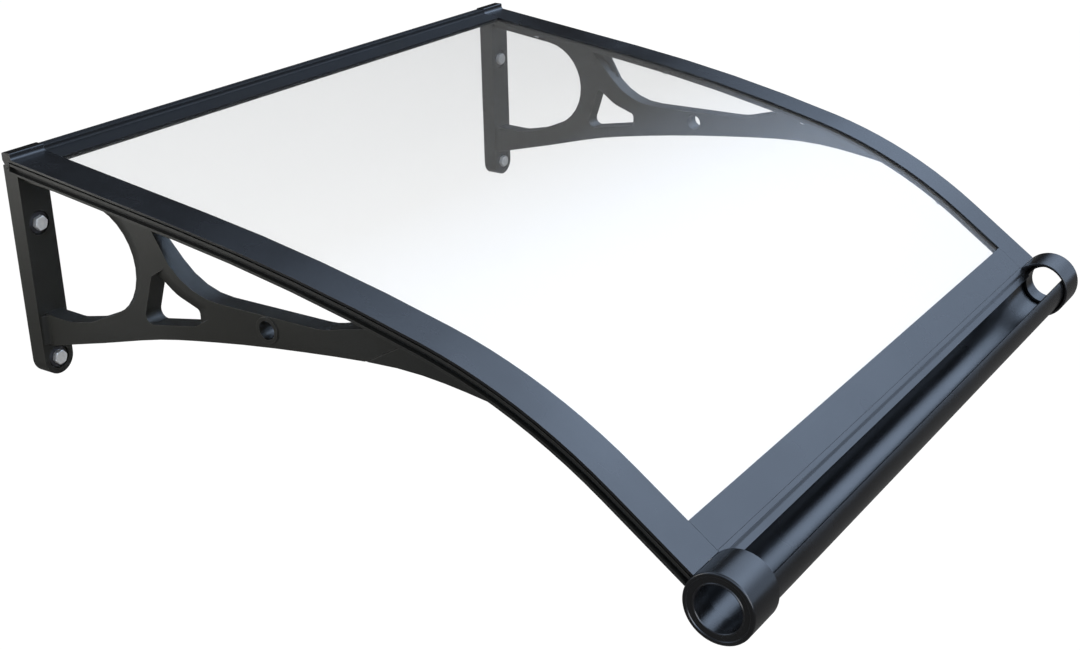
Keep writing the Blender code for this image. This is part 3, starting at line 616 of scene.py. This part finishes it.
@dataclass(frozen=True)
class ZincPlate:
    """Zinc plated steel with a cloudy crystal skin."""

    name: str = "zinc plated steel"
    colour: Colour = (0.90, 0.90, 0.89)
    cloud: Colour = (0.72, 0.73, 0.74)
    roughness: float = 0.32

    def build(self, effects: Effects) -> bpy.types.Material:
        """Makes the material from the shared node groups."""
        made = bpy.data.materials.new(self.name)
        made.use_nodes = True
        board = NodeBoard(made.node_tree)
        shader = made.node_tree.nodes["Principled BSDF"]
        clouds = board.ramp(board.noise(320.0, 5.0), 0.3, 0.7, 0.0, 1.0)
        place = board.add("TexCoord").outputs["Object"]
        cells = board.add("TexVoronoi", {"Vector": place, "Scale": 900.0}).outputs["Distance"]
        colour = board.blend(clouds, (*self.colour, 1.0), (*self.cloud, 1.0))
        grain = effects.grain.place(
            board, {"Grain Scale": 2600.0, "Grain Depth": 0.2, "Roughness": self.roughness}
        )
        rough = board.math("ADD", grain.outputs["Roughness"], board.math("MULTIPLY", cells, 0.12))
        links = made.node_tree.links
        links.new(colour, shader.inputs["Base Color"])
        links.new(rough, shader.inputs["Roughness"])
        links.new(grain.outputs["Normal"], shader.inputs["Normal"])
        links.new(board.ramp(clouds, 0.0, 1.0, 0.65, 0.20), shader.inputs["Metallic"])
        return made


@dataclass(frozen=True)
class SealRubber:
    """Matt black rubber with a bloom of talc."""

    name: str = "black seal rubber"
    colour: Colour = (0.012, 0.012, 0.012)
    bloom: Colour = (0.045, 0.045, 0.046)

    def build(self, effects: Effects) -> bpy.types.Material:
        """Makes the material from the shared node groups."""
        made = bpy.data.materials.new(self.name)
        made.use_nodes = True
        board = NodeBoard(made.node_tree)
        shader = made.node_tree.nodes["Principled BSDF"]
        bloom = board.ramp(board.noise(90.0, 6.0), 0.45, 0.75, 0.0, 1.0)
        colour = board.blend(bloom, (*self.colour, 1.0), (*self.bloom, 1.0))
        grain = effects.grain.place(
            board, {"Grain Scale": 1500.0, "Grain Depth": 0.5, "Roughness": 0.75}
        )
        links = made.node_tree.links
        links.new(colour, shader.inputs["Base Color"])
        links.new(grain.outputs["Roughness"], shader.inputs["Roughness"])
        links.new(grain.outputs["Normal"], shader.inputs["Normal"])
        return made


@dataclass
class Finishes:
    """All materials of the canopy."""

    effects: Effects = field(default_factory=Effects)

    def __post_init__(self) -> None:
        """Builds the materials from their values."""
        casting = Coat(
            name="black coat on castings",
            colour=(0.0125, 0.0125, 0.0105),
            mottle=(0.0160, 0.0158, 0.0132),
            worn_and_highlit=(0.085, 0.083, 0.076),
            roughness=0.42,
            gloss_level=0.42,
            grain_scale=750.0,
            grain_depth=0.30,
            edge_reach=0.0010,
            dust=0.012,
        )
        strip = Coat(
            name="black coat on strips",
            colour=(0.0070, 0.0074, 0.0085),
            mottle=(0.0095, 0.0100, 0.0115),
            worn_and_highlit=(0.055, 0.057, 0.062),
            roughness=0.25,
            gloss_level=0.50,
            grain_scale=1100.0,
            grain_depth=0.15,
            edge_reach=0.0008,
            dust=0.008,
        )
        self.casting = casting.build(self.effects)
        self.strip = strip.build(self.effects)
        rail = replace(
            strip,
            name="flat black coat on the rear rail",
            colour=(0.0110, 0.0110, 0.0108),
            roughness=0.55,
            gloss_level=0.20,
        )
        self.rail = rail.build(self.effects)
        self.sheet = ClearPlastic().build(self.effects)
        self.zinc = ZincPlate().build(self.effects)
        # The washers' near-black colour is painted shade: it stands in for the shade inside the
        # recess round each bolt on the wall plate.
        washer = ZincPlate(
            name="painted_shade_dark steel", colour=(0.05, 0.05, 0.055), cloud=(0.03, 0.03, 0.033)
        )
        self.washer = washer.build(self.effects)
        self.rubber = SealRubber().build(self.effects)


# Sub-assemblies


@dataclass
class Bracket:
    """A cast bracket: wall plate, pierced web with its arm, and grooved rail."""

    side: Side
    edge_rounding: float = 0.0005

    def build(self, frame: Mapping, finishes: Finishes) -> None:
        """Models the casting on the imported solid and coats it."""
        node = "bracket_" + self.side.label
        piece = merged_copy(frame["nodes"][node], "casting_" + self.side.label)
        soften_edges(piece, self.edge_rounding)
        smooth(piece)
        hand_over(piece, finishes.casting, Slot.CASTING, node)


@dataclass
class Strips:
    """The black strips that clamp the sheet: side covers, front cover and rear rail."""

    edge_rounding: float = 0.00035

    def build(self, frame: Mapping, finishes: Finishes) -> None:
        """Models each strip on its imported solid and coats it."""
        for node in ("side_cover_left", "side_cover_right", "front_cover", "rear_rail"):
            piece = merged_copy(frame["nodes"][node], node + "_strip")
            soften_edges(piece, self.edge_rounding)
            smooth(piece)
            finish = finishes.rail if node == "rear_rail" else finishes.strip
            hand_over(piece, finish, Slot.STRIP, node)


@dataclass
class Sheet:
    """The clear curved sheet."""

    roof: RoofLine
    half_width: float = 0.3914
    rear: float = 0.0131
    front: float = 0.7771
    top_drop: float = 0.0025
    thickness: float = 0.0030
    steps: int = 96
    edge_rounding: float = 0.0003

    def build(self, finishes: Finishes) -> None:
        """Draws the curved sheet out along the wall and softens its edges."""
        bottom = self.top_drop + self.thickness
        outline = self.roof.band(self.rear, self.front, self.top_drop, bottom, self.steps)
        piece = drawn_along_wall("clear_sheet", outline, self.half_width)
        soften_edges(piece, self.edge_rounding)
        smooth(piece)
        hand_over(piece, finishes.sheet, Slot.SHEET, "canopy_sheet")


@dataclass
class Gutter:
    """The open round gutter along the front edge."""

    edge_rounding: float = 0.0003

    def build(self, frame: Mapping, finishes: Finishes) -> None:
        """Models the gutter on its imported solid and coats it."""
        piece = merged_copy(frame["nodes"]["gutter"], "gutter_trough")
        soften_edges(piece, self.edge_rounding)
        smooth(piece)
        hand_over(piece, finishes.strip, Slot.STRIP, "gutter")


@dataclass
class EndCap:
    """Round collar on one end of the gutter, with a wide hole through its face."""

    side: Side
    centre_out: float
    centre_height: float
    half_width: float = 0.4000
    proud: float = 0.0020
    length: float = 0.0420
    radius: float = 0.0308
    bore: float = 0.0281
    hole: float = 0.0204
    face_thickness: float = 0.0045
    sleeve_length: float = 0.0220
    sleeve_wall: float = 0.0022
    recess: float = 0.0007
    steps: int = 128

    def section(self) -> list[Point]:
        """Section of the collar as (distance in from its face, radius) points."""
        outer, edge = self.radius, 0.0018
        rounding = []
        for step in range(5):
            angle = math.pi / 2 * step / 4
            rounding.append((edge * (1 - math.sin(angle)), outer - edge * (1 - math.cos(angle))))
        return [
            (self.length, self.bore + 0.0004),
            (self.length, outer - 0.0006),
            (self.length - 0.0006, outer),
            *rounding,
            (0.0, outer - 0.0036),
            (self.recess, outer - 0.0041),
            (self.recess, self.hole + 0.0016),
            (0.0002, self.hole + 0.0012),
            (0.0002, self.hole + 0.0005),
            (0.0008, self.hole),
            (self.sleeve_length, self.hole),
            (self.sleeve_length, self.hole + self.sleeve_wall),
            (self.face_thickness, self.hole + self.sleeve_wall),
            (self.face_thickness, self.bore),
            (self.length - 0.0004, self.bore),
        ]

    def build(self, finishes: Finishes) -> None:
        """Turns the collar and coats it."""
        label = self.side.label
        face = self.side.value * (self.half_width + self.proud)
        centre = Vector((face, -self.centre_out, self.centre_height))
        inwards = Vector((-self.side.value, 0.0, 0.0))
        piece = turned("end_cap_" + label, self.section(), centre, inwards, self.steps)
        smooth(piece)
        hand_over(piece, finishes.strip, Slot.STRIP, "gutter_cap_" + label)


@dataclass
class WallBolt:
    """One hexagon bolt with its washer."""

    side: Side
    level: str
    height: float
    x: float = 0.3827
    head_front: float = 0.0221
    face_radius: float = 0.0061
    chamfer: float = math.radians(62)
    edge_rounding: float = 0.0002
    washer_back: float = 0.0145
    washer_front: float = 0.0165
    washer_radius: float = 0.0105
    washer_hole: float = 0.0044
    washer_edge: float = 0.0003

    def build(self, frame: Mapping, finishes: Finishes) -> None:
        """Models the chamfered bolt and the rounded washer."""
        self.build_bolt(frame, finishes)
        self.build_washer(finishes)

    def build_bolt(self, frame: Mapping, finishes: Finishes) -> None:
        """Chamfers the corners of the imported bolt's head with a wide cone."""
        node = f"wall_bolt_{self.level}_{self.side.label}"
        bolt = merged_copy(frame["nodes"][node], node + "_turned")
        depth = self.head_front
        deselect_all()
        bpy.ops.mesh.primitive_cone_add(
            vertices=96,
            radius1=self.face_radius + depth * math.tan(self.chamfer),
            radius2=self.face_radius,
            depth=depth,
            location=(self.side.value * self.x, -depth / 2, self.height),
            rotation=(math.pi / 2, 0.0, 0.0),
        )
        combine(bolt, bpy.context.active_object, "INTERSECT")
        soften_edges(bolt, self.edge_rounding)
        smooth(bolt)
        hand_over(bolt, finishes.zinc, Slot.ZINC, node)

    def build_washer(self, finishes: Finishes) -> None:
        """Turns the washer."""
        back, front, edge = self.washer_back, self.washer_front, self.washer_edge
        section = [
            (back, self.washer_hole + edge),
            (back, self.washer_radius - edge),
            (back + edge, self.washer_radius),
            (front - edge, self.washer_radius),
            (front, self.washer_radius - edge),
            (front, self.washer_hole + edge),
            (front - edge, self.washer_hole),
            (back + edge, self.washer_hole),
        ]
        name = f"washer_{self.level}_{self.side.label}"
        centre = Vector((self.side.value * self.x, 0.0, self.height))
        washer = turned(name + "_turned", section, centre, Vector((0.0, -1.0, 0.0)), 64)
        smooth(washer)
        hand_over(washer, finishes.washer, Slot.ZINC, name)


@dataclass
class ClampScrews:
    """Pan-head screws with a cross slot, driven up from below."""

    roof: RoofLine
    side_x: float = 0.3692
    side_stations: tuple[float, ...] = (0.09, 0.28, 0.47, 0.66)
    side_seat: float = 0.0140
    cross_rows: tuple[tuple[str, float], ...] = (("rear", 0.02125), ("front", 0.7614))
    cross_places: tuple[float, ...] = (-0.31, -0.31 / 3, 0.31 / 3, 0.31)
    cross_seat: float = 0.0091
    shank: float = 0.0020
    head_radius: float = 0.0034
    head_height: float = 0.0020
    slot_width: float = 0.0009
    slot_depth: float = 0.0012
    tip_drop: float = 0.0011

    def model(self, length: float) -> bpy.types.Object:
        """Models one screw that points up, with its head's bearing face at the origin.

        Args:
            length: Length of the shank above the head.

        Returns:
            The screw.
        """
        low = -self.head_height
        section = [
            (low, 0.0001),
            (low + 0.0001, 0.45 * self.head_radius),
            (low + 0.0005, 0.78 * self.head_radius),
            (low + 0.0011, 0.97 * self.head_radius),
            (low + 0.0015, self.head_radius),
            (-0.0001, self.head_radius),
            (0.0, self.head_radius - 0.0001),
            (0.0, self.shank),
            (length - 0.0004, self.shank),
            (length, self.shank - 0.0004),
            (length, 0.0001),
        ]
        screw = turned("screw_pattern", section, Vector(), Vector((0.0, 0.0, 1.0)), 24)
        for turn in (0.0, math.pi / 2):
            deselect_all()
            bpy.ops.mesh.primitive_cube_add(
                size=1.0,
                location=(0.0, 0.0, low + self.slot_depth / 2 - 0.0002),
                rotation=(0.0, 0.0, turn),
                scale=(1.1 * self.head_radius, self.slot_width, self.slot_depth),
            )
            combine(screw, bpy.context.active_object, "DIFFERENCE")
        smooth(screw)
        return screw

    def placement(self, x: float, station: float, seat: float) -> Matrix:
        """Works out where a screw stands.

        Args:
            x: Place along the wall.
            station: Station of its axis on the roof line.
            seat: Drop of the face that the head bears on.

        Returns:
            The matrix that moves the pattern there.
        """
        slope = self.roof.frame(station)[2]
        out, height = self.roof.point(station, seat + TOUCH_GAP)
        return Matrix.Translation((x, -out, height)) @ Matrix.Rotation(slope, 4, "X")

    def copy_to(
        self, pattern: bpy.types.Object, node: str, placement: Matrix, finishes: Finishes
    ) -> None:
        """Copies the pattern to one screw's place.

        Args:
            pattern: The modelled screw.
            node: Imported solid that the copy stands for.
            placement: Where the copy stands.
            finishes: The canopy's materials.
        """
        mesh = pattern.data.copy()
        mesh.transform(placement)
        piece = bpy.data.objects.new(node + "_turned", mesh)
        bpy.context.scene.collection.objects.link(piece)
        hand_over(piece, finishes.zinc, Slot.ZINC, node)

    def build(self, finishes: Finishes) -> None:
        """Models a long and a short screw and copies them to every place."""
        long_screw = self.model(self.side_seat - self.tip_drop)
        short_screw = self.model(self.cross_seat - self.tip_drop)
        for side in Side:
            for index, station in enumerate(self.side_stations, start=1):
                node = f"side_screw_{side.label}_{index}"
                placement = self.placement(side.value * self.side_x, station, self.side_seat)
                self.copy_to(long_screw, node, placement, finishes)
        for row, station in self.cross_rows:
            for index, x in enumerate(self.cross_places, start=1):
                placement = self.placement(x, station, self.cross_seat)
                self.copy_to(short_screw, f"{row}_screw_{index}", placement, finishes)
        for pattern in (long_screw, short_screw):
            bpy.data.objects.remove(pattern)


@dataclass
class Seals:
    """The rubber strips under the sheet's edges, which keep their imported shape."""

    nodes: tuple[str, ...] = ("rear_seal", "front_seal", "side_seal_left", "side_seal_right")

    def build(self, frame: Mapping, finishes: Finishes) -> None:
        """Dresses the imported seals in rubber."""
        for name in self.nodes:
            materials = frame["nodes"][name].data.materials
            materials.clear()
            materials.append(finishes.rubber)
            LOG.info("%s: rubber", name)


# Studio


@dataclass
class Studio:
    """Camera, floor, lamps and world."""

    lens: float = 53.20
    place: Colour = (-1.3139, -1.2197, 0.4209)
    azimuth: float = math.radians(-55.943)
    pitch: float = math.radians(22.489)
    roll: float = math.radians(1.257)
    floor_height: float = -1.10
    floor_size: float = 60.0
    white: float = 1.08
    mirrored_floor: float = 0.15
    mirrored_dark: Colour = (0.03, 0.03, 0.03)
    mirrored_sky: Colour = (3.00, 3.80, 5.10)
    fill: Colour = (0.24, 0.24, 0.24)

    def build(self) -> None:
        """Sets up everything around the canopy."""
        self.build_camera()
        self.build_floor()
        self.build_world()
        self.add_lamp("side_box", (-0.95, 0.28, 0.05), 0.5, 0.5, 3.4, (1.0, 0.99, 0.94))
        self.add_lamp("front_box", (-0.90, -2.30, 0.30), 1.0, 1.0, 14.0, (1.0, 1.0, 1.0))
        self.add_lamp("top_box", (0.3, -1.2, 2.4), 1.8, 1.8, 6.0, (0.97, 0.99, 1.0))
        bpy.context.scene.view_settings.view_transform = "Standard"

    def build_camera(self) -> None:
        """Adds the camera at the photograph's viewpoint."""
        level_right = Vector((math.cos(self.azimuth), math.sin(self.azimuth), 0.0))
        ahead = Vector(
            (
                -math.sin(self.azimuth) * math.cos(self.pitch),
                math.cos(self.azimuth) * math.cos(self.pitch),
                -math.sin(self.pitch),
            )
        )
        level_down = ahead.cross(level_right)
        right = math.cos(self.roll) * level_right + math.sin(self.roll) * level_down
        down = math.cos(self.roll) * level_down - math.sin(self.roll) * level_right
        data = bpy.data.cameras.new("camera")
        data.lens = self.lens
        data.sensor_width = 36.0
        data.clip_end = 200.0
        camera = bpy.data.objects.new("camera", data)
        turn = Matrix((right, -down, -ahead)).transposed().to_4x4()
        camera.matrix_world = Matrix.Translation(self.place) @ turn
        bpy.context.scene.collection.objects.link(camera)
        bpy.context.scene.camera = camera

    def ray_kinds(self, board: NodeBoard) -> tuple[bpy.types.NodeSocket, bpy.types.NodeSocket]:
        """Tells what is seen, straight on or through the sheet, from what is mirrored."""
        rays = board.add("LightPath").outputs
        mirrored = board.math("MINIMUM", rays["Glossy Depth"], 1.0)
        not_diffuse = board.math("SUBTRACT", 1.0, rays["Is Diffuse Ray"])
        mirrored = board.math("MULTIPLY", mirrored, not_diffuse)
        seen = board.math("MAXIMUM", rays["Is Camera Ray"], rays["Is Transmission Ray"])
        seen = board.math("SUBTRACT", seen, mirrored)
        return board.math("MAXIMUM", seen, 0.0), mirrored

    def build_floor(self) -> None:
        """Adds the pale floor, which shows white but keeps a soft shadow."""
        deselect_all()
        location = (0.0, 0.0, self.floor_height)
        bpy.ops.mesh.primitive_plane_add(size=self.floor_size, location=location)
        floor = bpy.context.active_object
        floor.name = "floor"
        pale = bpy.data.materials.new("pale floor")
        pale.use_nodes = True
        board = NodeBoard(pale.node_tree)
        shader = pale.node_tree.nodes["Principled BSDF"]
        shader.inputs["Base Color"].default_value = (0.88, 0.88, 0.88, 1.0)
        shader.inputs["Roughness"].default_value = 0.9
        shader.inputs["Specular IOR Level"].default_value = 0.0
        seen, mirrored = self.ray_kinds(board)
        strength = board.ramp(seen, 0.0, 1.0, self.mirrored_floor, self.white)
        glow = board.add("Emission", {"Color": (1.0, 1.0, 1.0, 1.0), "Strength": strength})
        share = board.math("MULTIPLY", board.math("MAXIMUM", seen, mirrored), 0.94)
        mixed = board.add("MixShader", {0: share, 1: shader.outputs[0], 2: glow.outputs[0]})
        output = pale.node_tree.nodes["Material Output"]
        pale.node_tree.links.new(mixed.outputs[0], output.inputs["Surface"])
        floor.data.materials.append(pale)

    def build_world(self) -> None:
        """Adds an even fill, a soft sky on the right for gloss, and white for the camera."""
        world = bpy.data.worlds.new("studio")
        bpy.context.scene.world = world
        world.use_nodes = True
        board = NodeBoard(world.node_tree)
        seen, mirrored = self.ray_kinds(board)
        towards = board.add("TexCoord").outputs["Generated"]
        towards = board.add("SeparateXYZ", {0: towards}).outputs
        across = board.math("MULTIPLY_ADD", towards["X"], 0.76, towards["Y"])
        sky = board.ramp(across, 1.01, 0.88, 0.0, 1.0)
        for axis, low, high, start, end in (
            ("Y", 0.36, -0.30, 0.42, 1.0),
            ("Z", 0.34, 0.60, 0.25, 1.0),
            ("Z", 0.68, 0.86, 1.0, 0.10),
        ):
            sky = board.math("MULTIPLY", sky, board.ramp(towards[axis], low, high, start, end))
        sky = board.blend(sky, (*self.mirrored_dark, 1.0), (*self.mirrored_sky, 1.0))
        light = board.blend(mirrored, (*self.fill, 1.0), sky)
        light = board.blend(seen, light, (self.white, self.white, self.white, 1.0))
        background = world.node_tree.nodes["Background"]
        world.node_tree.links.new(light, background.inputs["Color"])

    def add_lamp(
        self, name: str, place: Colour, width: float, height: float, power: float, colour: Colour
    ) -> None:
        """Adds a soft lamp that faces the canopy.

        Args:
            name: Name of the lamp.
            place: Where it stands.
            width: Width of its face.
            height: Height of its face.
            power: Its power in watts.
            colour: Colour of its light.
        """
        data = bpy.data.lights.new(name, "AREA")
        data.shape = "RECTANGLE"
        data.size = width
        data.size_y = height
        data.energy = power
        data.color = colour
        lamp = bpy.data.objects.new(name, data)
        lamp.visible_camera = False
        towards = Vector(LAMP_TARGET) - Vector(place)
        turn = towards.to_track_quat("-Z", "Y").to_matrix().to_4x4()
        lamp.matrix_world = Matrix.Translation(place) @ turn
        bpy.context.scene.collection.objects.link(lamp)


def main() -> None:
    """Dresses the canopy and sets up the studio."""
    logging.basicConfig(level=logging.INFO, format="%(name)s %(message)s")
    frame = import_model()
    finishes = Finishes()
    roof = RoofLine()
    out, height, slope = roof.frame(roof.length)
    gutter_out = out - GUTTER_DROP * math.sin(slope)
    cap_height = height - GUTTER_DROP * math.cos(slope) - CAP_SAG
    for side in Side:
        Bracket(side).build(frame, finishes)
        EndCap(side, gutter_out, cap_height).build(finishes)
        for level, bolt_height in BOLT_HEIGHTS.items():
            WallBolt(side, level, bolt_height).build(frame, finishes)
    Strips().build(frame, finishes)
    Sheet(roof).build(finishes)
    Gutter().build(frame, finishes)
    ClampScrews(roof).build(finishes)
    Seals().build(frame, finishes)
    Studio().build()


if __name__ == "__main__":
    main()
